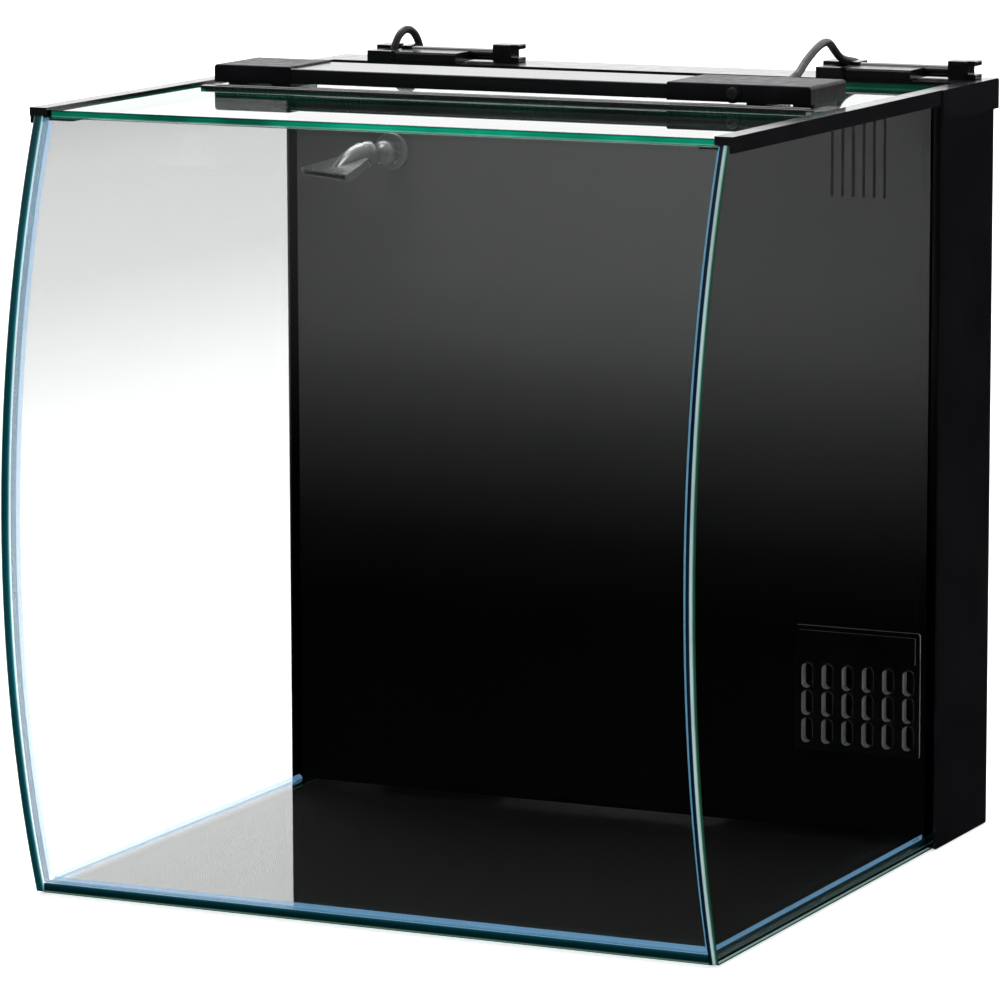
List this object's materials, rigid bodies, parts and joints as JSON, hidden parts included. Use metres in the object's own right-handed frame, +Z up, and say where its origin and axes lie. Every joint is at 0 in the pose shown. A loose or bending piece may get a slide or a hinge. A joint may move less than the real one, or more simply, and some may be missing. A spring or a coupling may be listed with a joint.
{
  "type": "glass aquarium tank",
  "caption": "Glass aquarium with a bent front pane, black partition and rear filter chamber, folding glass lid, slim LED bar, swivel return outlet and return pump.",
  "frame": {"origin": "on the floor, under the middle of the tank and its rim", "axes": "+X to the right seen from the front, -Y towards the bent front pane, +Z up"},
  "size_m": [0.4576, 0.5415, 0.5038],
  "materials": {
    "clear_glass": "polished float glass with green ground edges",
    "clear_silicone": "smooth cured silicone",
    "foam_mat": "fine closed-cell foam",
    "rim_plastic": "glossy moulded",
    "flap_plastic": "glossy moulded",
    "pin_steel": "drawn wire",
    "partition_plastic": "satin sheet",
    "grille_plastic": "satin moulded",
    "hinge_plastic": "glossy extruded",
    "light_aluminium": "fine brushed, black anodised",
    "light_plastic": "glossy moulded",
    "button_plastic": "satin moulded",
    "lens_plastic": "milky diffusing",
    "circuit_board": "white solder mask",
    "soft_rubber": "soft moulded",
    "outlet_plastic": "satin moulded",
    "pump_plastic": "glossy moulded",
    "shaft_ceramic": "ground ceramic",
    "rotor_plastic": "moulded over a magnet",
    "pipe_plastic": "smooth extruded",
    "basket_plastic": "fine moulded grain",
    "sponge_foam": "open-cell foam",
    "ring_ceramic": "porous fired ceramic rings",
    "mesh_fabric": "knitted mesh over dark granules",
    "cord_jacket": "soft satin jacket",
    "plug_plastic": "fine moulded grain",
    "tie_plastic": "flat strap"
  },
  "bodies": {
    "tank": {"back_glass": "clear_glass", "bottom_glass": "clear_glass", "carbon_bag": "mesh_fabric", "ceramic_media": "ring_ceramic", "cord_ties": "tie_plastic", "filter_sponge": "sponge_foam", "front_glass": "clear_glass", "hinge_strip": "hinge_plastic", "intake_grille": "grille_plastic", "left_flap_bracket": "flap_plastic", "left_flap_pin": "pin_steel", "left_glass": "clear_glass", "left_rail": "rim_plastic", "left_side_cover": "rim_plastic", "leveling_mat": "foam_mat", "light_coil": "cord_jacket", "light_cord": "cord_jacket", "light_plug": "plug_plastic", "light_tail": "cord_jacket", "media_basket": "basket_plastic", "media_divider": "partition_plastic", "partition": "partition_plastic", "pump_body": "pump_plastic", "pump_coil": "cord_jacket", "pump_cord": "cord_jacket", "pump_cover": "pump_plastic", "pump_divider": "partition_plastic", "pump_gland": "soft_rubber", "pump_plug": "plug_plastic", "pump_shaft": "shaft_ceramic", "pump_tail": "cord_jacket", "rear_deck": "rim_plastic", "rear_lid": "clear_glass", "return_elbow": "pipe_plastic", "return_pipe": "pipe_plastic", "return_socket": "outlet_plastic", "right_flap_bracket": "flap_plastic", "right_flap_pin": "pin_steel", "right_glass": "clear_glass", "right_rail": "rim_plastic", "right_side_cover": "rim_plastic", "silicone_beads": "clear_silicone", "silicone_seams": "clear_silicone", "suction_cups": "soft_rubber"},
    "front_lid": {"front_lid": "clear_glass", "lid_clip": "hinge_plastic"},
    "left_flap": {"left_flap": "flap_plastic"},
    "right_flap": {"right_flap": "flap_plastic"},
    "light": {"light_housing": "light_aluminium", "light_left_cap": "light_plastic", "light_right_cap": "light_plastic", "light_lens": "lens_plastic", "led_board": "circuit_board", "light_feet": "soft_rubber", "light_gland": "soft_rubber"},
    "power_button": {"power_button": "button_plastic"},
    "swivel_link": {"swivel_link": "outlet_plastic"},
    "return_nozzle": {"return_nozzle": "outlet_plastic"},
    "impeller": {"impeller": "rotor_plastic"},
    "flow_slider": {"flow_slider": "pump_plastic"}
  },
  "joints": [
    {"name": "front_lid_hinge", "type": "hinge", "parent": "tank", "child": "front_lid", "pos_m": [0, -0.011, 0.4749], "axis": [-1, 0, 0], "range_deg": [0, 84]},
    {"name": "left_flap_hinge", "type": "hinge", "parent": "tank", "child": "left_flap", "pos_m": [-0.145, 0.217, 0.4808], "axis": [-1, 0, 0], "range_deg": [0, 100]},
    {"name": "right_flap_hinge", "type": "hinge", "parent": "tank", "child": "right_flap", "pos_m": [0.17, 0.217, 0.4808], "axis": [-1, 0, 0], "range_deg": [0, 100]},
    {"name": "light_lift", "type": "slide", "parent": "tank", "child": "light", "axis": [0, 0, 1], "range_m": [0, 0.06]},
    {"name": "power_button_press", "type": "slide", "parent": "light", "child": "power_button", "axis": [0, 1, 0], "range_m": [0, 0.0008], "stiffness_N_per_m": 400, "springref_m": -0.0004},
    {"name": "nozzle_pan", "type": "hinge", "parent": "tank", "child": "swivel_link", "pos_m": [-0.15, 0.1295, 0.4237], "axis": [0, 0, 1], "range_deg": [0, 56]},
    {"name": "nozzle_tilt", "type": "hinge", "parent": "swivel_link", "child": "return_nozzle", "pos_m": [-0.1561, 0.11802, 0.4237], "axis": [0.8829, -0.4695, 0], "range_deg": [-45, 11]},
    {"name": "impeller_spin", "type": "hinge", "parent": "tank", "child": "impeller", "pos_m": [-0.15, 0.184, 0.034], "axis": [1, 0, 0], "continuous": true},
    {"name": "flow_slider_travel", "type": "slide", "parent": "tank", "child": "flow_slider", "axis": [0, 0, 1], "range_m": [0, 0.008]}
  ]
}
